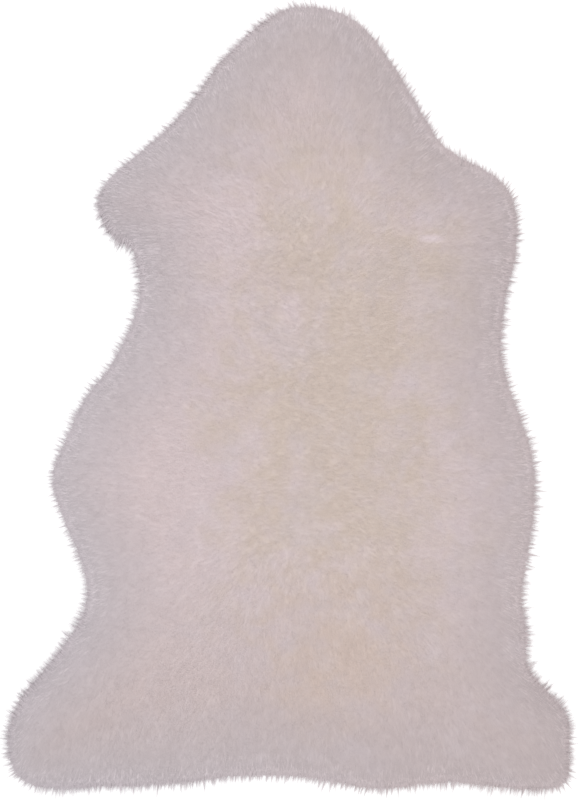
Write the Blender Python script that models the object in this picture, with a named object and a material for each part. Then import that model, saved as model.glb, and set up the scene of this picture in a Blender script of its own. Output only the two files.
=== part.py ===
"""A sheepskin rug: one tanned sheepskin that lies flat on the floor, wool side up.

Metres, +Z up. The skin rests on z = 0, the neck points to +Y, and the origin is on the floor under
the middle of the rug's box. The pelt is one natural piece, so it is one solid: the thin skin, whose
cut edge shows only from below, and the wool that stands on it, hangs over that edge and ends in
loose locks all round.
"""

import math

import bmesh
import bpy
import numpy as np
from mathutils import Euler, Vector, noise
from mathutils.geometry import delaunay_2d_cdt

MM = 0.001

# The skin, at the bottom of the pelt.
SKIN_THICKNESS = 2.0 * MM
SKIN_BEVEL = 0.6 * MM  # the knife's slant on its cut edge
SKIN_CORNER = 30.0 * MM  # the knife rounds off corners of about this size
SKIN_POINTS = 150
WOOL_OVERHANG = 25.0 * MM  # how far the wool reaches past the skin
GROOVE_WIDTH = 3.0 * MM  # round the skin's edge, before the wool comes down to the floor

# The wool.
PILE_HEIGHT = 38.0 * MM  # over the floor, where the wool stands
RIM_HEIGHT = 13.0 * MM  # at the rim, where it has fallen away
SHOULDER_WIDTH = 62.0 * MM  # over which it falls from one to the other
RING_WIDTH = 6.0 * MM  # from the rim to the first ring of points inside it
GRID_STEP = 15.0 * MM  # between the points over the rest of the top
GRID_MARGIN = 9.0 * MM  # left clear between the ring and those points

# The lumps that the wool clumps into.
# Columns: size across, height.
LUMPS = (
    (150.0 * MM, 3.2 * MM),
    (66.0 * MM, 3.4 * MM),
    (44.0 * MM, 2.6 * MM),
)

# The loose locks round the rim, one on each step of it.
LOCKS = 290
LOCK_ROOT = 3.0 * MM  # how far inside the wool's edge a lock starts
LOCK_REACH = (2.5 * MM, 8.0 * MM)  # past the wool's edge, shortest and longest
LOCK_LEAN = math.radians(50)  # how much a group of locks can lean to one side
LOCK_STRAY = math.radians(5)  # the most that one lock leaves its group
GROUP_SIZE = 70.0 * MM  # across the groups that lean alike
WAIST_AT = 0.42  # where along its length a lock is drawn in
WAIST_WIDTH = 0.74  # the width there, as a share of the root's
WAIST_HEIGHT = 7.5 * MM
TIP_LIFT = 4.5 * MM  # the highest that a tip stands off the floor
SEED = 11

ROUNDING_PASSES = 3
CREASE = math.radians(50)  # sharper edges than this aren't shaded smooth
MERGE = 1e-7

# The edge of the standing wool, clockwise from the neck, in millimetres.
# Columns: the place on the skin, x, y.
WOOL_EDGE = (
    ("neck", 14, 472),
    ("neck", 50, 467),
    ("neck", 84, 451),
    ("neck, right side", 106, 427),
    ("neck, right side", 137, 382),
    ("neck, right side", 165, 336),
    ("neck, right side", 186, 303),
    ("right shoulder", 226, 280),
    ("right foreleg", 262, 254),
    ("right foreleg", 273, 225),
    ("right foreleg", 273, 178),
    ("right chest", 260, 118),
    ("right chest", 256, 52),
    ("right chest", 266, 10),
    ("right belly", 284, -40),
    ("right belly", 296, -92),
    ("right belly", 290, -172),
    ("right flank", 280, -240),
    ("right flank", 287, -285),
    ("right flank", 285, -315),
    ("right hind leg", 304, -344),
    ("right hind leg", 333, -376),
    ("right hind leg", 337, -420),
    ("right hind leg", 332, -462),
    ("right hind leg", 312, -469),
    ("rump", 250, -466),
    ("rump", 186, -461),
    ("rump", 112, -469),
    ("rump", 60, -462),
    ("rump", 8, -454),
    ("rump", -64, -454),
    ("rump", -140, -463),
    ("rump", -220, -466),
    ("left hind leg", -300, -466),
    ("left hind leg", -326, -453),
    ("left hind leg", -338, -408),
    ("left hind leg", -328, -370),
    ("left hind leg", -283, -312),
    ("left flank", -248, -258),
    ("left flank", -242, -232),
    ("left flank", -254, -184),
    ("left belly", -273, -137),
    ("left belly", -284, -95),
    ("left belly", -264, -40),
    ("left belly", -247, -3),
    ("left chest", -210, 46),
    ("left chest", -186, 99),
    ("left chest", -179, 132),
    ("left armpit", -183, 160),
    ("left armpit", -188, 181),
    ("left foreleg", -208, 190),
    ("left foreleg", -224, 214),
    ("left foreleg", -231, 240),
    ("left foreleg", -219, 259),
    ("left shoulder", -178, 297),
    ("left shoulder", -140, 331),
    ("neck, left side", -110, 367),
    ("neck, left side", -80, 407),
    ("neck, left side", -48, 438),
    ("neck, left side", -18, 462),
)


def wool_material():
    """Pale, pinkish beige wool, quite matt."""
    made = bpy.data.materials.new("wool")
    made.use_nodes = True
    shader = made.node_tree.nodes["Principled BSDF"]
    shader.inputs["Base Color"].default_value = (0.59, 0.50, 0.48, 1.0)
    shader.inputs["Roughness"].default_value = 0.95
    shader.inputs["Metallic"].default_value = 0.0
    return made


def resampled(loop, count):
    """A closed loop again, with count points evenly along it."""
    closed = np.vstack([loop, loop[:1]])
    steps = np.linalg.norm(np.diff(closed, axis=0), axis=1)
    along = np.concatenate([[0.0], np.cumsum(steps)])
    at = np.linspace(0.0, along[-1], count, endpoint=False)
    return np.column_stack([np.interp(at, along, closed[:, k]) for k in range(2)])


def wool_edge(count):
    """Points along the smooth curve through WOOL_EDGE, counter-clockwise."""
    curve = bpy.data.curves.new("wool_edge", "CURVE")
    curve.resolution_u = 16
    spline = curve.splines.new("BEZIER")
    spline.bezier_points.add(len(WOOL_EDGE) - 1)
    spline.use_cyclic_u = True
    for point, (_, x, y) in zip(spline.bezier_points, WOOL_EDGE):
        point.co = (x * MM, y * MM, 0.0)
        point.handle_left_type = "AUTO"
        point.handle_right_type = "AUTO"
    guide = bpy.data.objects.new("wool_edge", curve)
    line = bpy.data.meshes.new_from_object(guide)
    points = np.array([vertex.co.xy for vertex in line.vertices])
    bpy.data.objects.remove(guide)
    bpy.data.curves.remove(curve)
    bpy.data.meshes.remove(line)
    return resampled(points[::-1], count)


def outward(loop):
    """The direction straight out of a counter-clockwise loop, at each of its points."""
    along = np.roll(loop, -1, axis=0) - np.roll(loop, 1, axis=0)
    out = np.column_stack([along[:, 1], -along[:, 0]])
    return out / np.linalg.norm(out, axis=1)[:, None]


def rounded(loop, size):
    """The loop with corners smaller than size rounded off, by moving averages."""
    step = np.linalg.norm(np.roll(loop, -1, axis=0) - loop, axis=1).mean()
    reach = max(1, round(0.5 * size / step))
    for _ in range(ROUNDING_PASSES):
        loop = sum(np.roll(loop, k, axis=0) for k in range(-reach, reach + 1)) / (2 * reach + 1)
    return loop


def inset(loop, distance, corner):
    """The loop moved inwards, with its corners rounded first so that it doesn't cross itself."""
    smooth = rounded(loop, corner)
    return smooth - outward(smooth) * distance


def distance_to(loop, points):
    """How far each point is from the loop's own line."""
    start = loop[None, :, :]
    side = np.roll(loop, -1, axis=0)[None, :, :] - start
    away = points[:, None, :] - start
    share = np.clip((away * side).sum(2) / (side**2).sum(2), 0.0, 1.0)
    return np.linalg.norm(away - share[:, :, None] * side, axis=2).min(axis=1)


def inside(loop, points):
    """Whether each point is inside the loop."""
    x, y = points[:, :1], points[:, 1:]
    start, end = loop, np.roll(loop, -1, axis=0)
    spans = (start[:, 1] > y) != (end[:, 1] > y)
    rise = np.where(end[:, 1] == start[:, 1], 1.0, end[:, 1] - start[:, 1])
    crossing = start[:, 0] + (y - start[:, 1]) * (end[:, 0] - start[:, 0]) / rise
    return (spans & (x < crossing)).sum(axis=1) % 2 == 1


def grid_points(loop, margin):
    """Points in staggered rows over the loop, leaving a margin at its line."""
    low, high = loop.min(axis=0), loop.max(axis=0)
    rows = np.arange(low[1], high[1], GRID_STEP * math.sqrt(0.75))
    columns = np.arange(low[0], high[0], GRID_STEP)
    shifts = 0.5 * GRID_STEP * (np.arange(len(rows)) % 2)
    grid = np.array([(x + shift, y) for y, shift in zip(rows, shifts) for x in columns])
    grid = grid[inside(loop, grid)]
    return grid[distance_to(loop, grid) > margin]


def level(points, height):
    """Flat points at one height, or each at its own."""
    return np.column_stack([points, np.full(len(points), height)])


def pile_height(rim, points):
    """The height of the wool over each point: a round shoulder at the rim, and the lumps."""
    rise = np.clip(distance_to(rim, points) / SHOULDER_WIDTH, 0.0, 1.0)
    dome = np.sqrt(1.0 - (1.0 - rise) ** 2)
    lumps = sum(
        height * np.array([noise.noise(Vector((x, y, height)) / size) for x, y in points])
        for size, height in LUMPS
    )
    return RIM_HEIGHT + (PILE_HEIGHT - RIM_HEIGHT) * dome + lumps * rise


def filled(bm, *layers):
    """Triangles over all the points of the layers, where each but the last is a closed loop.

    They stay inside the first loop, and every loop's line is kept as edges.
    """
    points = np.vstack(layers)
    edges = []
    first = 0
    for loop in layers[:-1]:
        count = len(loop)
        edges += [(first + k, first + (k + 1) % count) for k in range(count)]
        first += count
    plan = [Vector(point[:2]) for point in points]
    _, _, triangles, sources, *_ = delaunay_2d_cdt(plan, edges, [], 1, MERGE)
    corners = [bm.verts.new(points[source[0]]) for source in sources]
    return [bm.faces.new([corners[k] for k in triangle]) for triangle in triangles]


def open_edges(faces):
    return [edge for face in faces for edge in face.edges if edge.is_boundary]


def lean(place, chance):
    """How far a lock leans to the side: with the locks near it, give or take a little."""
    group = noise.noise(Vector((*place.xy / GROUP_SIZE, SEED)))
    angle = LOCK_LEAN * group + chance.uniform(-LOCK_STRAY, LOCK_STRAY)
    return Euler((0.0, 0.0, angle))


def grow_locks(bm, walls, rim):
    """Draws each wall of the rim out into a lock that lies on the floor and ends in a tip."""
    chance = np.random.default_rng(SEED)
    out = outward(rounded(rim, SKIN_CORNER))
    waists = bmesh.ops.extrude_discrete_faces(bm, faces=walls)["faces"]
    for waist in waists:
        length = LOCK_ROOT + chance.uniform(*LOCK_REACH)
        turn = lean(waist.verts[0].co, chance)
        ways = []
        for vertex in waist.verts:
            nearest = np.linalg.norm(rim - vertex.co.xy, axis=1).argmin()
            way = Vector((*out[nearest], 0.0))
            way.rotate(turn)
            vertex.co += way * (WAIST_AT * length)
            vertex.co.z = min(vertex.co.z, WAIST_HEIGHT)
            ways.append(way)
        middle = waist.calc_center_median()
        for vertex in waist.verts:
            vertex.co.xy = middle.xy.lerp(vertex.co.xy, WAIST_WIDTH)
        tip = bmesh.ops.extrude_discrete_faces(bm, faces=[waist])["faces"][0]
        way = sum(ways, Vector()).normalized()
        place = middle + way * ((1.0 - WAIST_AT) * length)
        place.z = TIP_LIFT * chance.uniform(0.0, 1.0) ** 2
        bmesh.ops.pointmerge(bm, verts=tip.verts[:], merge_co=place)


def wool_top(bm, rim):
    """The top of the wool, down to the upper edge of the rim."""
    ring = resampled(inset(rim, RING_WIDTH, RING_WIDTH), LOCKS)
    crown = grid_points(rim, RING_WIDTH + GRID_MARGIN)
    return filled(bm, *[level(points, pile_height(rim, points)) for points in (rim, ring, crown)])


def underside(bm, rim, skin):
    """The flat face of the skin, the groove round its cut edge and the wool that lies outside."""
    ring = resampled(inset(rim, RING_WIDTH, RING_WIDTH), LOCKS // 2)
    out = outward(skin)
    return filled(
        bm,
        level(rim, 0.0),
        level(ring, 0.0),
        level(skin + out * GROOVE_WIDTH, SKIN_THICKNESS),
        level(skin + out * SKIN_BEVEL, SKIN_THICKNESS),
        level(skin, 0.0),
        np.empty((0, 3)),
    )


def make_pelt():
    """The whole pelt: its top and its underside joined round the rim, with the locks on it."""
    edge = wool_edge(4 * LOCKS)
    rim = resampled(inset(edge, LOCK_ROOT, RING_WIDTH), LOCKS)
    skin = resampled(inset(edge, WOOL_OVERHANG, SKIN_CORNER), SKIN_POINTS)
    bm = bmesh.new()
    faces = wool_top(bm, rim) + underside(bm, rim, skin)
    walls = bmesh.ops.bridge_loops(bm, edges=open_edges(faces))["faces"]
    bmesh.ops.recalc_face_normals(bm, faces=bm.faces[:])
    grow_locks(bm, walls, rim)
    bmesh.ops.recalc_face_normals(bm, faces=bm.faces[:])
    mesh = bpy.data.meshes.new("pelt")
    bm.to_mesh(mesh)
    bm.free()
    mesh.shade_smooth()
    mesh.set_sharp_from_angle(angle=CREASE)
    mesh.materials.append(wool_material())
    return bpy.data.objects.new("pelt", mesh)


def centre(piece):
    """Moves the piece so that the middle of its box is over the origin."""
    corners = np.array(piece.bound_box)
    middle = (corners.min(axis=0) + corners.max(axis=0)) / 2
    piece.location.xy = -middle[:2]


def main():
    for old in list(bpy.data.objects):
        bpy.data.objects.remove(old)
    rug = bpy.data.collections.new("sheepskin_rug")
    bpy.context.scene.collection.children.link(rug)
    pelt = make_pelt()
    rug.objects.link(pelt)
    centre(pelt)


main()
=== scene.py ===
import math

import bmesh
import bpy
import numpy as np
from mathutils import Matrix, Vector, kdtree, noise
from mathutils.bvhtree import BVHTree


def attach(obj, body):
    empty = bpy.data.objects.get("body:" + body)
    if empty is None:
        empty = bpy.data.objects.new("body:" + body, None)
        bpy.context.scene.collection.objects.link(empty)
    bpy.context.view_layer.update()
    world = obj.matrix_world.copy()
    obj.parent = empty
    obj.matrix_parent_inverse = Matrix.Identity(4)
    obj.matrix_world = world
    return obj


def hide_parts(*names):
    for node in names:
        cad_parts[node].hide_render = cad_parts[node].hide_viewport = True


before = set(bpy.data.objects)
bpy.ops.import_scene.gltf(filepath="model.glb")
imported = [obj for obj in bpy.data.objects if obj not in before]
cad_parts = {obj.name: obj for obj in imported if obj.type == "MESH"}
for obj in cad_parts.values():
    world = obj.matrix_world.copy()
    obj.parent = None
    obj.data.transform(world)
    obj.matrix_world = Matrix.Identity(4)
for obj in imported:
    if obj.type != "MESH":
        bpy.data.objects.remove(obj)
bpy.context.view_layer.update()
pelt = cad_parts["pelt"]

# ---- The skin ------------------------------------------------------------------------------------
# The tanned sheepskin: one sheet of hide two millimetres thick, cut to the pelt's outline with a
# knife. It lies flesh side down on the floor, napped like suede, and all the wool grows from it.

SKIN_THICKNESS = 0.002
SKIN_EDGE_ROUND = 0.0006  # where the knife's edge is worn
ON_FLOOR = 0.00005  # faces lower than this lie on the floor
SAME_POINT = 1e-6  # points closer than this are one
SUEDE_DARK = (0.62, 0.50, 0.37, 1.0)
SUEDE_PALE = (0.74, 0.64, 0.51, 1.0)
SUEDE_PATCH = 0.09  # the size of its clouds
NAP_FINENESS = 900.0
NAP_HEIGHT = 0.0004


def welded(obj):
    """The object's mesh with its loose triangles joined."""
    bm = bmesh.new()
    bm.from_mesh(obj.data)
    bmesh.ops.remove_doubles(bm, verts=bm.verts, dist=SAME_POINT)
    return bm


def joined_to(start, allowed):
    """The allowed faces that can be reached from start over shared edges."""
    found = {start}
    ahead = [start]
    while ahead:
        for edge in ahead.pop().edges:
            fresh = [face for face in edge.link_faces if face in allowed and face not in found]
            found.update(fresh)
            ahead += fresh
    return found


def in_order(edges):
    """The points of a closed chain of edges, in order round it."""
    links = {}
    for edge in edges:
        for vertex in edge.verts:
            links.setdefault(vertex, []).append(edge)
    vertex, edge = edges[0].verts[0], edges[0]
    points = []
    for _ in edges:
        points.append(vertex.co[:])
        vertex = edge.other_vert(vertex)
        edge = next(other for other in links[vertex] if other is not edge)
    return np.array(points)


def finished(name, bm):
    """Turns a bmesh into a smooth-shaded object of the scene."""
    mesh = bpy.data.meshes.new(name)
    bm.to_mesh(mesh)
    bm.free()
    mesh.shade_smooth()
    made = bpy.data.objects.new(name, mesh)
    bpy.context.scene.collection.objects.link(made)
    return made


def make_skin():
    """Lifts the skin's flat face off the bottom of the pelt and thickens it into a sheet."""
    bm = welded(pelt)
    lying = {f for f in bm.faces if f.normal.z < -0.99 and f.calc_center_median().z < ON_FLOOR}
    middle = min(lying, key=lambda face: face.calc_center_median().length)
    flat = joined_to(middle, lying)
    bmesh.ops.delete(bm, geom=[face for face in bm.faces if face not in flat], context="FACES")
    area = sum(face.calc_area() for face in bm.faces)
    bmesh.ops.dissolve_faces(bm, faces=bm.faces[:])
    lifted = bmesh.ops.extrude_face_region(bm, geom=bm.faces[:])["geom"]
    top = [item for item in lifted if isinstance(item, bmesh.types.BMVert)]
    bmesh.ops.translate(bm, verts=top, vec=(0.0, 0.0, SKIN_THICKNESS))
    bmesh.ops.recalc_face_normals(bm, faces=bm.faces[:])
    rims = [edge for edge in bm.edges if len({round(v.co.z, 5) for v in edge.verts}) == 1]
    bmesh.ops.bevel(
        bm, geom=rims, offset=SKIN_EDGE_ROUND, affect="EDGES", segments=2, profile=0.5, material=-1
    )
    bmesh.ops.triangulate(bm, faces=bm.faces[:])
    return finished("skin", bm), area


def shader_of(material):
    """The material's Principled shader, with its nodes switched on."""
    material.use_nodes = True
    return material.node_tree.nodes["Principled BSDF"]


def make_mottle():
    """A group that gives soft, cloudy variation from 0 to 1 over an object, at two scales."""
    group = bpy.data.node_groups.new("mottle", "ShaderNodeTree")
    size = group.interface.new_socket("Patch size", in_out="INPUT", socket_type="NodeSocketFloat")
    size.default_value = 0.07
    group.interface.new_socket("Value", in_out="OUTPUT", socket_type="NodeSocketFloat")
    nodes, links = group.nodes, group.links
    given, result = nodes.new("NodeGroupInput"), nodes.new("NodeGroupOutput")
    place = nodes.new("ShaderNodeTexCoord")
    scale = nodes.new("ShaderNodeMath")
    scale.operation = "DIVIDE"
    scale.inputs[0].default_value = 1.0
    links.new(given.outputs["Patch size"], scale.inputs[1])
    clouds = nodes.new("ShaderNodeTexNoise")
    clouds.inputs["Detail"].default_value = 3.0
    clouds.inputs["Roughness"].default_value = 0.55
    clouds.inputs["Distortion"].default_value = 0.4
    links.new(place.outputs["Object"], clouds.inputs["Vector"])
    links.new(scale.outputs[0], clouds.inputs["Scale"])
    spread = nodes.new("ShaderNodeMapRange")
    spread.inputs["From Min"].default_value = 0.3
    spread.inputs["From Max"].default_value = 0.7
    links.new(clouds.outputs["Fac"], spread.inputs["Value"])
    links.new(spread.outputs["Result"], result.inputs["Value"])
    return group


mottle = make_mottle()


def blended(tree, share, first, second, kind="MIX"):
    """A mix of two colours, each a plain colour or another node's output."""
    mix = tree.nodes.new("ShaderNodeMix")
    mix.data_type = "RGBA"
    mix.blend_type = kind
    for socket, value in ((mix.inputs[0], share), (mix.inputs[6], first), (mix.inputs[7], second)):
        if isinstance(value, bpy.types.NodeSocket):
            tree.links.new(value, socket)
        else:
            socket.default_value = value
    return mix.outputs[2]


def clouds(tree, size):
    """Soft clouds of about that size over the piece, from 0 to 1."""
    node = tree.nodes.new("ShaderNodeGroup")
    node.node_tree = mottle
    node.inputs["Patch size"].default_value = size
    return node.outputs["Value"]


def make_suede():
    """Pale cream suede with a short nap and slightly darker clouds."""
    suede = bpy.data.materials.new("suede")
    shader = shader_of(suede)
    shader.inputs["Roughness"].default_value = 0.9
    shader.inputs["Sheen Weight"].default_value = 0.3
    tree = suede.node_tree
    colour = blended(tree, clouds(tree, SUEDE_PATCH), SUEDE_DARK, SUEDE_PALE)
    tree.links.new(colour, shader.inputs["Base Color"])
    place = tree.nodes.new("ShaderNodeTexCoord")
    nap = tree.nodes.new("ShaderNodeTexNoise")
    nap.inputs["Scale"].default_value = NAP_FINENESS
    nap.inputs["Detail"].default_value = 4.0
    tree.links.new(place.outputs["Object"], nap.inputs["Vector"])
    bump = tree.nodes.new("ShaderNodeBump")
    bump.inputs["Strength"].default_value = 0.35
    bump.inputs["Distance"].default_value = NAP_HEIGHT
    tree.links.new(nap.outputs["Fac"], bump.inputs["Height"])
    tree.links.new(bump.outputs["Normal"], shader.inputs["Normal"])
    return suede


skin, skin_area = make_skin()
skin.data.materials.append(make_suede())
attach(skin, "root")

# ---- The underwool -------------------------------------------------------------------------------
# The body of the fleece, where the crimped wool is packed too closely to tell locks apart. It
# fills the pelt from just over the skin almost up to the tips, and shows softly between them.

UNDERWOOL_GRAIN = 0.005
UNDERWOOL_DEPTH = 0.0022  # how far below the tips of the locks it ends
OVER_SKIN = 0.0023  # the height that it starts at
UNDERWOOL_SHADE_TONES = (0.86, 0.44)  # at the rim, paler as painted light in the shaded gaps there, and further in, darker as painted shade between the tips
TONE_DEPTHS = (0.010, 0.030)  # how far in from the rim it has them
SPREAD = 0.0035  # how far its foot spreads out over the skin's edge
SPREAD_DEPTH = 0.012  # how far in from the rim it starts to spread
SPREAD_HEIGHT = 0.020  # and how high up
RIM_UPWARD = 1.5  # how far the wool at the rim is shaded as if it faced up
RIM_HEIGHT = 0.013  # of the loop where the locks of the pelt's rim start
RIM_STEP = 0.003  # between the points that the rim is measured at
WOOL_PINK = (0.597, 0.508, 0.515, 1.0)  # over most of the pelt
WOOL_BEIGE = (0.566, 0.478, 0.430, 1.0)  # along the back
BACK_PLACE = (0.075, -0.020, 0.0)
BACK_SIZE = (0.15, 0.42, 1.0)
WOOL_ENDS = (0.533, 0.452, 0.447, 1.0)  # over the neck and the rump
MIDDLE = (0.0, 0.03, 0.0)
LENGTHWISE = (1000.0, 0.42, 1.0)  # only the distance along the pelt counts
END_EDGE = (0.5, 1.0)  # where the ends' colour starts and is whole, in shares of that size
WOOL_RUMP = (0.572, 0.468, 0.420, 1.0)  # where the beige runs on over the rump
RUMP_PLACE = (0.055, -0.290, 0.0)
RUMP_SIZE = (0.085, 0.105, 1.0)
RUMP_STRENGTH = 0.75
PATCH_EDGE = (1.25, 0.35)  # where a beige patch starts and is whole
WAVES = ((0.075, 0.4), (0.028, 0.3))  # the sizes and depths of the waves in its edge
# The rim's colours are darker than the pink: partly the wool's lilac and grey tint, partly painted
# shade where the pile curves down.
WOOL_LILAC = (0.502, 0.458, 0.482, 1.0)  # along the left side of the rim
WOOL_GREY = (0.500, 0.436, 0.443, 1.0)  # and along the right
FADE_SIDES = (-0.25, 0.15)  # from where to where the one turns into the other
RIM_SHADE_WIDTH = 0.100  # of the greyer, darker wool along the rim: painted shade where the pile curves down to the floor, over a lilac and grey tint
WOOL_CLOUDS = (0.552, 0.494, 0.523, 1.0)  # here and there
CLOUD_SIZE = 0.045
CLOUD_EDGE = (0.45, 1.0)
CLOUD_STRENGTH = 0.3
WOOL_FLECK = (0.660, 0.570, 0.590, 1.0)  # a paler wisp behind the shoulder
FLECK_PLACE = (0.170, 0.189, 0.0)
FLECK_SIZE = (0.020, 0.007, 1.0)
FLECK_EDGE = (1.0, 0.3)
FLECK_STRENGTH = 0.8
TONE_DARK = (0.78, 0.78, 0.78, 1.0)  # what the colour is taken by, for a tone of 0
TONE_PALE = (1.25, 1.25, 1.25, 1.0)  # and for a tone of 1


def rim_loop():
    """The points of the pelt's rim, in order."""
    bm = welded(pelt)
    on_rim = {vertex for vertex in bm.verts if abs(vertex.co.z - RIM_HEIGHT) < SAME_POINT}
    edges = [edge for edge in bm.edges if set(edge.verts) <= on_rim]
    points = in_order(edges)[:, :2]
    bm.free()
    return points


def evenly(loop, step):
    """A closed loop again, with points evenly along it, about a step apart, counter-clockwise."""
    x, y = loop.T
    if (x * np.roll(y, -1) - y * np.roll(x, -1)).sum() < 0:
        loop = loop[::-1]
    closed = np.vstack([loop, loop[:1]])
    steps = np.linalg.norm(np.diff(closed, axis=0), axis=1)
    along = np.concatenate([[0.0], np.cumsum(steps)])
    at = np.linspace(0.0, along[-1], round(along[-1] / step), endpoint=False)
    return np.column_stack([np.interp(at, along, closed[:, k]) for k in range(2)])


def outward(loop, reach=4):
    """The direction out of the loop at each point, smoothed over its neighbours."""
    along = np.roll(loop, -reach, axis=0) - np.roll(loop, reach, axis=0)
    out = np.column_stack([along[:, 1], -along[:, 0]])
    return out / np.linalg.norm(out, axis=1)[:, None]


rim = evenly(rim_loop(), RIM_STEP)
rim_out = outward(rim)


def nearest(points, choices):
    """The number of the nearest of the choices to each point of the floor."""
    tree = kdtree.KDTree(len(choices))
    for number, (x, y) in enumerate(choices):
        tree.insert((x, y, 0.0), number)
    tree.balance()
    return np.array([tree.find((x, y, 0.0))[1] for x, y in points])


def nearest_rim(points):
    """The nearest point of the rim to each point, as its number and how far inside it lies."""
    near = nearest(points, rim)
    depth = -((points - rim[near]) * rim_out[near]).sum(axis=1)
    return near, depth


def with_modifiers(obj, *steps):
    """A new mesh of the object after each modifier, given as its kind and settings."""
    for kind, settings in steps:
        modifier = obj.modifiers.new(kind.lower(), kind)
        for name, value in settings.items():
            setattr(modifier, name, value)
    ready = obj.evaluated_get(bpy.context.evaluated_depsgraph_get())
    return bpy.data.meshes.new_from_object(ready)


def make_underwool():
    """The pelt's form, shrunk by the length of the standing locks and laid over the skin."""
    rough = finished("rough_underwool", welded(pelt))
    mesh = with_modifiers(
        rough,
        ("REMESH", {"mode": "VOXEL", "voxel_size": UNDERWOOL_GRAIN}),
        ("DISPLACE", {"strength": -UNDERWOOL_DEPTH, "mid_level": 0.0}),
        ("REMESH", {"mode": "VOXEL", "voxel_size": UNDERWOOL_GRAIN}),
        ("SMOOTH", {"factor": 0.5, "iterations": 8}),
    )
    bpy.data.objects.remove(rough)
    points = np.array([vertex.co[:] for vertex in mesh.vertices])
    points[:, 2] = np.maximum(points[:, 2], OVER_SKIN)
    near, depth = nearest_rim(points[:, :2])
    by_rim = np.clip(1.0 - depth / SPREAD_DEPTH, 0.0, 1.0)
    low = np.clip(1.0 - points[:, 2] / SPREAD_HEIGHT, 0.0, 1.0)
    points[:, :2] += rim_out[near] * (SPREAD * by_rim * low)[:, None]
    mesh.vertices.foreach_set("co", points.ravel())
    mesh.name = "underwool"
    mesh.shade_smooth()
    mesh.update()
    facing = np.array([vertex.normal[:] for vertex in mesh.vertices])
    facing[:, 2] += np.where(facing[:, 2] > 0.0, RIM_UPWARD * by_rim, 0.0)
    mesh.normals_split_custom_set_from_vertices(facing / np.linalg.norm(facing, axis=1)[:, None])
    made = bpy.data.objects.new("underwool", mesh)
    bpy.context.scene.collection.objects.link(made)
    return made


def note(mesh, name, values):
    """Keeps a number for each of the mesh's points, for the material to read."""
    mesh.attributes.new(name, "FLOAT", "POINT").data.foreach_set("value", values)


def attribute(tree, name):
    """The output of a number kept on the mesh's points."""
    node = tree.nodes.new("ShaderNodeAttribute")
    node.attribute_name = name
    return node.outputs["Fac"]


def remapped(tree, value, low, high, start=0.0, end=1.0):
    """The value, taken from the range low to high into the range start to end."""
    node = tree.nodes.new("ShaderNodeMapRange")
    tree.links.new(value, node.inputs["Value"])
    for name, number in zip(("From Min", "From Max", "To Min", "To Max"), (low, high, start, end)):
        node.inputs[name].default_value = number
    return node.outputs["Result"]


def added(tree, first, second):
    """The sum of two values."""
    node = tree.nodes.new("ShaderNodeMath")
    tree.links.new(first, node.inputs[0])
    tree.links.new(second, node.inputs[1])
    return node.outputs[0]


def distance_from(tree, place, size):
    """How far each point lies from a place, with 1 at the edge of an ellipse of that size."""
    found = tree.nodes.new("ShaderNodeTexCoord")
    mapping = tree.nodes.new("ShaderNodeMapping")
    mapping.vector_type = "TEXTURE"
    mapping.inputs["Location"].default_value = place
    mapping.inputs["Scale"].default_value = size
    tree.links.new(found.outputs["Object"], mapping.inputs["Vector"])
    length = tree.nodes.new("ShaderNodeVectorMath")
    length.operation = "LENGTH"
    tree.links.new(mapping.outputs["Vector"], length.inputs[0])
    return length.outputs["Value"]


def make_wool():
    """Soft, matt wool: pinkish with beige patches along the back, greyer and darker towards the
    rim, partly its lilac and grey tint and partly painted shade.
    """
    wool = bpy.data.materials.new("wool")
    shader = shader_of(wool)
    shader.inputs["Roughness"].default_value = 0.95
    shader.inputs["Specular IOR Level"].default_value = 0.1
    shader.inputs["Sheen Weight"].default_value = 0.15
    shader.inputs["Sheen Roughness"].default_value = 0.6
    tree = wool.node_tree
    waves = [remapped(tree, clouds(tree, size), 0.0, 1.0, -depth, depth) for size, depth in WAVES]
    uneven = added(tree, *waves)
    from_back = distance_from(tree, BACK_PLACE, BACK_SIZE)
    on_back = remapped(tree, added(tree, from_back, uneven), *PATCH_EDGE)
    colour = blended(tree, on_back, WOOL_PINK, WOOL_BEIGE)
    from_middle = distance_from(tree, MIDDLE, LENGTHWISE)
    at_end = remapped(tree, from_middle, *END_EDGE)
    colour = blended(tree, at_end, colour, WOOL_ENDS)
    from_rump = distance_from(tree, RUMP_PLACE, RUMP_SIZE)
    on_rump = remapped(tree, added(tree, from_rump, uneven), *PATCH_EDGE, 0.0, RUMP_STRENGTH)
    colour = blended(tree, on_rump, colour, WOOL_RUMP)
    place = tree.nodes.new("ShaderNodeTexCoord")
    across = tree.nodes.new("ShaderNodeSeparateXYZ")
    tree.links.new(place.outputs["Object"], across.inputs[0])
    rightward = remapped(tree, across.outputs["X"], *FADE_SIDES)
    # Painted shade along the rim, where the pile curves down to the floor, with a lilac and grey
    # tint.
    rim_shade_colour = blended(tree, rightward, WOOL_LILAC, WOOL_GREY)
    in_rim_shade = remapped(tree, attribute(tree, "inside"), RIM_SHADE_WIDTH, 0.0)
    colour = blended(tree, in_rim_shade, colour, rim_shade_colour)
    clouded = remapped(tree, clouds(tree, CLOUD_SIZE), *CLOUD_EDGE, 0.0, CLOUD_STRENGTH)
    colour = blended(tree, clouded, colour, WOOL_CLOUDS)
    from_fleck = distance_from(tree, FLECK_PLACE, FLECK_SIZE)
    on_fleck = remapped(tree, from_fleck, *FLECK_EDGE, 0.0, FLECK_STRENGTH)
    colour = blended(tree, on_fleck, colour, WOOL_FLECK)
    # The tone is random from lock to lock on the standing wool; on the underwool and at the rim it
    # also holds painted light and shade.
    shade = blended(tree, attribute(tree, "tone"), TONE_DARK, TONE_PALE)
    colour = blended(tree, 1.0, colour, shade, "MULTIPLY")
    tree.links.new(colour, shader.inputs["Base Color"])
    return wool


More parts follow.
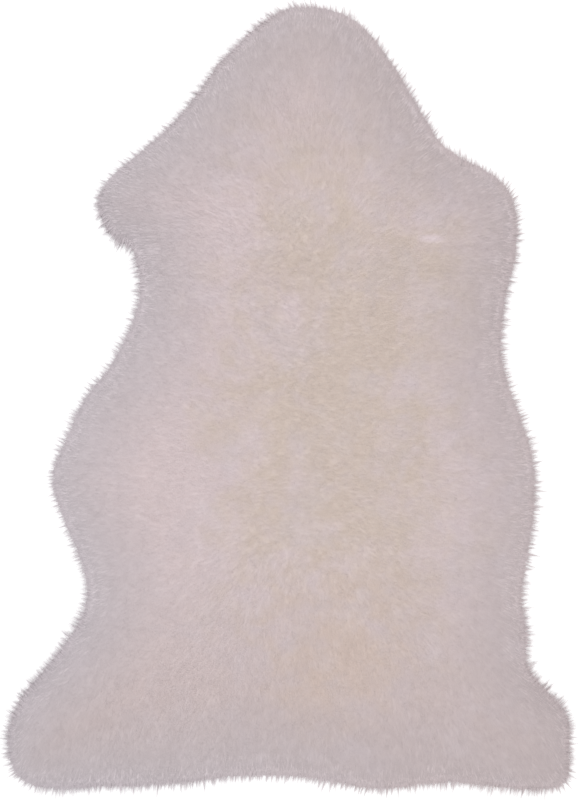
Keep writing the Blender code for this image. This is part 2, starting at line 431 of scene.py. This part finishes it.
wool = make_wool()
underwool = make_underwool()
plan = np.array([vertex.co[:2] for vertex in underwool.data.vertices])
inside = nearest_rim(plan)[1]
note(underwool.data, "inside", inside)
# The underwool's tone is painted shade between the tips further in, and painted light that lightens
# the shaded gaps near the rim.
note(underwool.data, "tone", np.interp(inside, TONE_DEPTHS, UNDERWOOL_SHADE_TONES))
underwool.data.materials.append(wool)
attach(underwool, "root")
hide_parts("pelt")

# ---- The standing wool ---------------------------------------------------------------------------
# The combed tips of the wool over the whole pelt: fine, straight and pointed, laid over one another
# and drawn together in small locks. They lie out to both sides along the middle, back over the rump
# and forward over the neck. Each of four bands across the pelt is one piece.

BANDS = ("wool_rump", "wool_loin", "wool_back", "wool_neck")
TIP_SPACING = 0.0017
JITTER = 0.45  # how far the points of a grid are moved, in shares of its step
TIP_RUN = (0.008, 0.016)  # how far a tip leans over, shortest and longest
TIP_RADIUS = (0.0004, 0.0006)
TIP_SINK = 0.0006  # its root's depth in the underwool
TIP_DEPTH = 0.0004  # of the tips under the pelt's surface
TIP_SCATTER = 0.00025  # how unevenly they end
FLATNESS = 0.4  # a tip's thickness, as a share of its width
LOOSE_SHARE = 0.06  # the part of the tips that stand up out of the rest
LOOSE_RUN = 0.35  # how far they lean, as a share of the rest
LOOSE_LIFT = (0.0010, 0.0040)
LOCK_SPACING = 0.009
LOCK_PULL = 0.12  # how far a lock draws its tips together
LOCK_LIFT = 0.0003  # how unevenly the locks stand
LOCK_TONES = (0.46, 0.014)  # the middle and the spread
TIP_TONES = 0.012  # the spread within a lock
FLOW_STEP = 0.01  # of the chart of how the wool lies
RIM_PULL = 0.08  # how far in from the rim its own direction lasts
RIM_LEAN = 1.5  # how far the wool leans straight out there
LIE_PLACES = (-0.32, -0.14, 0.18, 0.36)  # places along the spine, from the rump to the neck
LIE_ALONG = (-0.7, -0.12, -0.12, 0.35)  # and how far the wool lies forward there
SWIRL_SEED = 3  # unseeded, the swirls in it would differ from run to run
WIDE_SWIRLS = 0.12  # the size of the swirls in it
WIDE_STRENGTH = (0.6, 0.25)  # across the pelt and along it
SMALL_SWIRLS = 0.03
SMALL_STRENGTH = 0.15
LEAST_LEAN = 0.85  # of a tip, as a share of the whole
TIP_ASTRAY = (0.16, 0.14)  # how far the tips of one place differ, across the pelt and along it
SIDE_SCATTER = 1.2  # of the wool along the spine, which falls to either side
WOOL_OVERREACH = (-0.010, 0.006)  # past the rim, for the tips that grow beside it
LEAST_KEPT = 0.2  # of a tip's length, where the rim cuts it short
FLOOR_GAP = 0.0006
UPWARD = 0.5  # how far the wool is shaded as if it all faced up
OWN_NORMAL = 0.12  # how far a tip is shaded by its own roundness


def heights(tree, points):
    """How high the surface lies over each point of the floor, and NaN where there is none."""
    down = Vector((0.0, 0.0, -1.0))
    hits = [tree.ray_cast(Vector((x, y, 1.0)), down)[0] for x, y in points]
    return np.array([hit.z if hit else math.nan for hit in hits])


def drift(points, size, seed):
    """A smooth random direction for each point, which turns over about that size."""
    return np.array(
        [noise.noise_vector(Vector((x / size, y / size, seed)))[:2] for x, y in points]
    )


def unit(vectors):
    """The vectors, each made 1 long."""
    return vectors / np.linalg.norm(vectors, axis=-1, keepdims=True)


def jittered_grid(chance, low, high, step):
    """Points in staggered rows, each moved a little at random."""
    rows = np.arange(low[1], high[1], step * math.sqrt(0.75))
    columns = np.arange(low[0], high[0], step)
    x, y = np.meshgrid(columns, rows)
    x = x + 0.5 * step * (np.arange(len(rows)) % 2)[:, None]
    points = np.column_stack([x.ravel(), y.ravel()])
    return points + chance.uniform(-JITTER, JITTER, points.shape) * step


def flow_chart():
    """A coarse chart of how the wool leans: out over the rim, and towards the spine's ends."""
    low = rim.min(axis=0) - 2 * FLOW_STEP
    columns, rows = np.ceil((rim.max(axis=0) - low) / FLOW_STEP).astype(int) + 3
    x, y = np.meshgrid(np.arange(columns), np.arange(rows), indexing="ij")
    spots = low + FLOW_STEP * np.column_stack([x.ravel(), y.ravel()])
    gaps = np.linalg.norm(spots[:, None] - rim[None], axis=2)
    pull = np.exp(-gaps / RIM_PULL)
    out = pull @ rim_out / pull.sum(axis=1)[:, None]
    lean = RIM_LEAN * out + drift(spots, WIDE_SWIRLS, 2.0) * WIDE_STRENGTH
    lean = lean + SMALL_STRENGTH * drift(spots, SMALL_SWIRLS, 7.0)
    lean[:, 1] += np.interp(spots[:, 1], LIE_PLACES, LIE_ALONG)
    return low, lean.reshape(columns, rows, 2)


def read_chart(chart, points):
    """The chart's values at the points, blended between its four nearest."""
    low, values = chart
    at = (points - low) / FLOW_STEP
    cell = at.astype(int)
    u, v = (at - cell).T[:, :, None]
    i, j = cell.T
    near = (1 - u) * values[i, j] + u * values[i + 1, j]
    far = (1 - u) * values[i, j + 1] + u * values[i + 1, j + 1]
    return (1 - v) * near + v * far


under_points = kdtree.KDTree(len(underwool.data.vertices))
for vertex in underwool.data.vertices:
    under_points.insert(vertex.co, vertex.index)
under_points.balance()
under_normals = np.array([vertex.normal[:] for vertex in underwool.data.vertices])


def surface_normals(points):
    """The way the underwool's surface faces nearest to each point."""
    return under_normals[[under_points.find(point)[1] for point in points]]


def locks(name, paths, radii, tones, upward=UPWARD):
    """One mesh of many tips of wool, each three-sided, closed at its root and drawn to a point.

    paths holds each one's centre line from root to tip, and radii its size at all but the tip.
    Seen from above a tip is shaded mostly like the surface under it, turned upward by that much.
    """
    count, stops = radii.shape
    ahead = np.roll(paths, -1, axis=1)[:, :-1]
    before = np.concatenate([paths[:, :1], paths[:, :-2]], axis=1)
    along = unit(ahead - before)
    across = unit(np.cross(along, (0.0, 0.0, 1.0)))
    above = np.cross(across, along)
    angles = np.radians((90.0, 210.0, 330.0))[:, None]
    around = np.cos(angles) * across[:, :, None, :]
    around = around + FLATNESS * np.sin(angles) * above[:, :, None, :]
    rings = paths[:, :-1, None, :] + radii[:, :, None, None] * around
    points = np.concatenate([rings.reshape(count, -1, 3), paths[:, -1:]], axis=1)
    faces = [(0, 1, 2)]
    sides = [3]
    for stop in range(stops):
        for side in range(3):
            here, there = 3 * stop + side, 3 * stop + (side + 1) % 3
            if stop == stops - 1:
                faces.append((here, 3 * stops, there))
            else:
                faces += [(here, here + 3, there), (there, here + 3, there + 3)]
            sides += [side] * (len(faces) - len(sides))
    each = 3 * stops + 1
    corners = np.array(faces)
    sides = np.array(sides)
    faces = corners[None] + each * np.arange(count)[:, None, None]
    mesh = bpy.data.meshes.new(name)
    mesh.from_pydata(points.reshape(-1, 3), [], faces.reshape(-1, 3))
    mesh.shade_smooth()
    level = surface_normals(paths.reshape(-1, 3)).reshape(count, stops + 1, 3)
    level = unit(level + (0.0, 0.0, upward))
    own = unit(rings - paths[:, :-1, None, :])
    blend = unit((1 - OWN_NORMAL) * level[:, :-1, None, :] + OWN_NORMAL * own)
    shading = np.concatenate([blend.reshape(count, -1, 3), level[:, -1:]], axis=1)[:, corners]
    shading[:, sides == 1] = -above[:, None, :1]
    shading[:, sides == 3] = -along[:, None, :1]
    mesh.normals_split_custom_set(shading.reshape(-1, 3))
    flat = points[:, :, :2].reshape(-1, 2)
    note(mesh, "inside", nearest_rim(flat)[1])
    note(mesh, "tone", np.repeat(tones, each))
    mesh.materials.append(wool)
    made = bpy.data.objects.new(name, mesh)
    bpy.context.scene.collection.objects.link(made)
    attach(made, "root")
    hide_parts("pelt")
    return made


def bent(roots, middles, tips, shares):
    """Points at those shares of the way along a curve from root to tip that leans to its middle."""
    s = np.array(shares)[None, :, None]
    return (1 - s) ** 2 * roots[:, None] + 2 * s * (1 - s) * middles[:, None] + s**2 * tips[:, None]


under_tree = BVHTree.FromBMesh(welded(underwool))
pelt_tree = BVHTree.FromBMesh(welded(pelt))
noise.seed_set(SWIRL_SEED)
chart = flow_chart()


def standing_wool():
    """The tips' centre lines, radii and tones."""
    chance = np.random.default_rng(5)
    low, high = rim.min(axis=0), rim.max(axis=0)
    plan = jittered_grid(chance, low, high, TIP_SPACING)
    ground = heights(under_tree, plan)
    plan, ground = plan[~np.isnan(ground)], ground[~np.isnan(ground)]
    centres = jittered_grid(chance, low, high, LOCK_SPACING)
    lock = nearest(plan, centres)
    lean = read_chart(chart, plan)
    astray = np.clip(1.0 - np.linalg.norm(lean, axis=1), 0.0, 1.0)
    scatter = TIP_ASTRAY + np.outer(astray, (SIDE_SCATTER, 0.0))
    lean = lean + chance.normal(0.0, 1.0, plan.shape) * scatter
    ways = unit(lean)
    amount = np.clip(np.linalg.norm(lean, axis=1), LEAST_LEAN, 1.0)
    loose = chance.random(len(plan)) < LOOSE_SHARE
    run = chance.uniform(*TIP_RUN, len(plan)) * amount * np.where(loose, LOOSE_RUN, 1.0)
    ends = plan + ways * run[:, None]
    drawn = centres[lock] + ways * run[:, None]
    ends = ends + LOCK_PULL * (drawn - ends)
    near, depth = nearest_rim(plan)
    room = depth + chance.uniform(*WOOL_OVERREACH, len(plan))
    toward_rim = ((ends - plan) * rim_out[near]).sum(axis=1)
    kept = np.clip(room / np.maximum(toward_rim, SAME_POINT), LEAST_KEPT, 1.0)
    ends = plan + (ends - plan) * np.where(toward_rim > room, kept, 1.0)[:, None]
    past_rim = -nearest_rim(ends)[1]
    top = np.where(past_rim > 0.0, RIM_HEIGHT - past_rim, heights(pelt_tree, ends))
    lift = chance.normal(0.0, LOCK_LIFT, len(centres))
    top = top - TIP_DEPTH + lift[lock] + chance.normal(0.0, TIP_SCATTER, len(plan))
    top = top + np.where(loose, chance.uniform(*LOOSE_LIFT, len(plan)), 0.0)
    top = np.maximum(top, FLOOR_GAP)
    roots = np.column_stack([plan, ground - TIP_SINK])
    tips = np.column_stack([ends, top])
    paths = np.stack([roots, tips], axis=1)
    radii = chance.uniform(*TIP_RADIUS, (len(plan), 1))
    lock_tones = chance.normal(*LOCK_TONES, len(centres))
    tones = np.clip(lock_tones[lock] + chance.normal(0.0, TIP_TONES, len(plan)), 0.0, 1.0)
    return paths, radii, tones


paths, radii, tones = standing_wool()
order = paths[:, 0, 1].argsort()
bands = [
    locks(name, paths[part], radii[part], tones[part])
    for name, part in zip(BANDS, np.array_split(order, len(BANDS)))
]

# ---- The rim's locks -----------------------------------------------------------------------------
# Looser wool that hangs over the skin's cut edge all round: a close row of short tips, and between
# them longer, pointed tufts whose ends run out over the floor.

RIM_JITTER = 0.4  # how far the places along the rim are moved, in shares of their step
WALL_BOTTOM = 0.003  # the lowest that a root sits
ROOT_SPREAD = (1.0, 1.5)  # roots are thickest close under the surface
TURN_PLACES = (-0.45, -0.35, 0.1, 0.25)  # places along the pelt, from the rump to the neck
RIM_TURNS = (math.radians(-10), 0.0, 0.0, math.radians(32))  # how far left its wool turns there
SHORT_TIPS = 23500
SHORT_BACK = (0.001, 0.015)  # of their roots, inside the rim
SHORT_PAST = (-0.006, 0.0125)  # of their ends, outside it
SHORT_SPREAD = (1.2, 1.8)  # more of them end close to the rim
SHORT_LEAST = 0.006  # the length of the shortest
SHORT_ASTRAY = 0.25  # how far they turn from the rim's way, in radians
SHORT_DROP = (0.3, 0.9)  # the height of their ends, as a share of their roots'
SHORT_RADIUS = (0.00022, 0.00045)
SHORT_LIGHTENED_TONES = (0.93, 0.02)  # the middle and the spread, paler than the standing wool's: painted light against the shade that they lie in
TUFT_STEP = 0.0036
TUFT_HALF = 0.0018  # of the width it starts with
TUFT_PULL = 0.65  # how far a tuft draws its tips together
TUFT_REACH = (0.0095, 0.0200)  # of its ends past the rim
TUFT_SPREAD = (1.6, 2.2)  # most tufts are rather short
TUFT_BACK = (0.006, 0.012)
TUFT_ASTRAY = 0.12  # how far they turn, in radians
TUFT_DROP = (0.25, 0.9)  # the height of their ends, as a share of their roots'
LOCKS_IN_TUFT = 14
STRAYS = 0.15  # the part of the locks that lie loose of their tuft
STRAY_TURN = 0.5  # and how far those turn
STRAY_SHARES = (0.4, 1.1)  # their reach, as a share of their tuft's
SIDE_SHORTER = 0.75  # how much shorter the locks at a tuft's sides are
LEAST_SHARE = 0.15
SHARE_SPREAD = 0.15
LEAST_DROP = 0.1
DROP_SPREAD = 0.08
LOCK_STOPS = (0.0, 0.55, 1.0)  # where along its bend a lock has its points
LOCK_DROP = 0.15  # how far down to its end's height a lock has come at its middle
LOCK_ARCH = 0.001  # and how far it rises there
LOCK_RADIUS = (0.00016, 0.00030)
LOCK_THINNING = 0.75  # what is left of it at the bend
# The middle and the spread, paler than the standing wool's: painted light against the shade that
# the tufts lie in.
RIM_LOCK_LIGHTENED_TONES = (0.90, 0.02)


def turned(ways, angles):
    """The directions, turned to the left by the angles."""
    x, y = ways.T
    return np.column_stack(
        [x * np.cos(angles) - y * np.sin(angles), x * np.sin(angles) + y * np.cos(angles)]
    )


def along_rim(chance, count):
    """Points scattered evenly round the rim, with the ways out and sideways and the wool's turn."""
    moved = chance.uniform(-RIM_JITTER, RIM_JITTER, count)
    at = (np.arange(count) + moved) / count * len(rim)
    first = at.astype(int) % len(rim)
    share = (at - np.floor(at))[:, None]
    second = (first + 1) % len(rim)
    spots = (1.0 - share) * rim[first] + share * rim[second]
    out = unit((1.0 - share) * rim_out[first] + share * rim_out[second])
    side = np.column_stack([-out[:, 1], out[:, 0]])
    turn = np.interp(spots[:, 1], TURN_PLACES, RIM_TURNS)
    return spots, out, side, turn


def rooted(chance, starts):
    """The roots in the underwool at these places, most of them close under its surface."""
    ground = heights(under_tree, starts)
    ground = np.where(np.isnan(ground), 2 * WALL_BOTTOM, ground) - TIP_SINK
    depth = (ground - WALL_BOTTOM) * chance.beta(*ROOT_SPREAD, len(starts))
    return np.column_stack([starts, ground - depth])


def short_tips():
    """The centre lines, radii and tones of the short tips between the tufts."""
    chance = np.random.default_rng(9)
    spots, out, side, turn = along_rim(chance, SHORT_TIPS)
    ways = turned(out, turn + chance.normal(0.0, SHORT_ASTRAY, SHORT_TIPS))
    back = chance.uniform(*SHORT_BACK, (SHORT_TIPS, 1))
    past = SHORT_PAST[0] + np.ptp(SHORT_PAST) * chance.beta(*SHORT_SPREAD, (SHORT_TIPS, 1))
    run = np.maximum(back + past, SHORT_LEAST)
    roots = rooted(chance, spots - out * back)
    ends = roots[:, :2] + ways * run
    drop = chance.uniform(*SHORT_DROP, SHORT_TIPS)
    tips = np.column_stack([ends, np.maximum(roots[:, 2] * drop, FLOOR_GAP)])
    radii = chance.uniform(*SHORT_RADIUS, (SHORT_TIPS, 1))
    tones = np.clip(chance.normal(*SHORT_LIGHTENED_TONES, SHORT_TIPS), 0.0, 1.0)
    return np.stack([roots, tips], axis=1), radii, tones


def tufts():
    """The centre lines, radii and tones of the locks in the tufts."""
    chance = np.random.default_rng(8)
    count = round(len(rim) * RIM_STEP / TUFT_STEP)
    spots, out, side, turn = along_rim(chance, count)
    turn = turn + chance.normal(0.0, TUFT_ASTRAY, count)
    reach = TUFT_REACH[0] + np.ptp(TUFT_REACH) * chance.beta(*TUFT_SPREAD, count)
    tuft = np.repeat(np.arange(count), LOCKS_IN_TUFT)
    many = len(tuft)
    spots, out, side, turn, reach = spots[tuft], out[tuft], side[tuft], turn[tuft], reach[tuft]
    stray = chance.random(many) < STRAYS
    ways = turned(out, turn + np.where(stray, chance.normal(0.0, STRAY_TURN, many), 0.0))
    aside = chance.uniform(-1.0, 1.0, many)
    share = 1.0 - SIDE_SHORTER * np.abs(aside) + chance.normal(0.0, SHARE_SPREAD, many)
    share = np.where(stray, chance.uniform(*STRAY_SHARES, many), share)
    share = np.clip(share, LEAST_SHARE, STRAY_SHARES[1])
    pull = np.where(stray, 0.0, TUFT_PULL)
    starts = spots + side * (TUFT_HALF * aside)[:, None]
    starts = starts - out * chance.uniform(*TUFT_BACK, (many, 1))
    ends = spots + ways * (reach * share)[:, None]
    ends = ends + side * (TUFT_HALF * aside * (1.0 - pull * share))[:, None]
    roots = rooted(chance, starts)
    drop = chance.uniform(*TUFT_DROP, count)[tuft] + chance.normal(0.0, DROP_SPREAD, many)
    end_heights = np.maximum(roots[:, 2] * np.clip(drop, LEAST_DROP, 1.0), FLOOR_GAP)
    tips = np.column_stack([ends, end_heights])
    middles = 0.5 * (roots + tips)
    middles[:, 2] = (1.0 - LOCK_DROP) * roots[:, 2] + LOCK_DROP * tips[:, 2] + LOCK_ARCH
    sizes = chance.uniform(*LOCK_RADIUS, many)
    radii = np.column_stack([sizes, LOCK_THINNING * sizes])
    tones = np.clip(chance.normal(*RIM_LOCK_LIGHTENED_TONES, many), 0.0, 1.0)
    return bent(roots, middles, tips, LOCK_STOPS), radii, tones


rim_fill = locks("wool_rim_fill", *short_tips(), upward=RIM_UPWARD)
rim_locks = locks("wool_rim", *tufts(), upward=RIM_UPWARD)

# ---- The studio ----------------------------------------------------------------------------------
# A plain white floor under a wide, soft light, with the camera straight over the rug.

FLOOR_RADIUS = 6.0
FLOOR_WHITE = (0.93, 0.93, 0.93, 1.0)
AROUND_STRENGTH = 0.57  # of the white light from all round
SOFTBOX_STRENGTH = 2.1
SOFTBOX_WIDTH = math.radians(15)
SOFTBOX_PLACE = (-0.06, 0.08, 2.4)  # almost straight over the rug
LENS = 100.0
SENSOR = 36.0  # the height of the picture inside the camera
FRAME_HEIGHT = 0.960  # of the picture at the rug, in metres
CAMERA_PLACE = (0.0006, -0.003, LENS / SENSOR * FRAME_HEIGHT + 0.01)


def make_floor():
    """A wide, round white floor."""
    bm = bmesh.new()
    bmesh.ops.create_circle(bm, cap_ends=True, segments=96, radius=FLOOR_RADIUS)
    floor = finished("floor", bm)
    paint = bpy.data.materials.new("white_floor")
    shader = shader_of(paint)
    shader.inputs["Base Color"].default_value = FLOOR_WHITE
    shader.inputs["Roughness"].default_value = 0.9
    floor.data.materials.append(paint)
    return floor


make_floor()
world = bpy.data.worlds.new("soft_white")
world.use_nodes = True
world.node_tree.nodes["Background"].inputs["Color"].default_value = (1.0, 1.0, 1.0, 1.0)
world.node_tree.nodes["Background"].inputs["Strength"].default_value = AROUND_STRENGTH
bpy.context.scene.world = world

softbox = bpy.data.lights.new("softbox", "SUN")
softbox.energy = SOFTBOX_STRENGTH
softbox.angle = SOFTBOX_WIDTH
softbox_stand = bpy.data.objects.new("softbox", softbox)
softbox_stand.location = SOFTBOX_PLACE
softbox_stand.rotation_euler = (-softbox_stand.location).to_track_quat("-Z", "Y").to_euler()
bpy.context.scene.collection.objects.link(softbox_stand)

lens = bpy.data.cameras.new("camera")
lens.lens = LENS
camera = bpy.data.objects.new("camera", lens)
camera.location = CAMERA_PLACE
bpy.context.scene.collection.objects.link(camera)
bpy.context.scene.camera = camera
bpy.context.scene.view_settings.view_transform = "Standard"
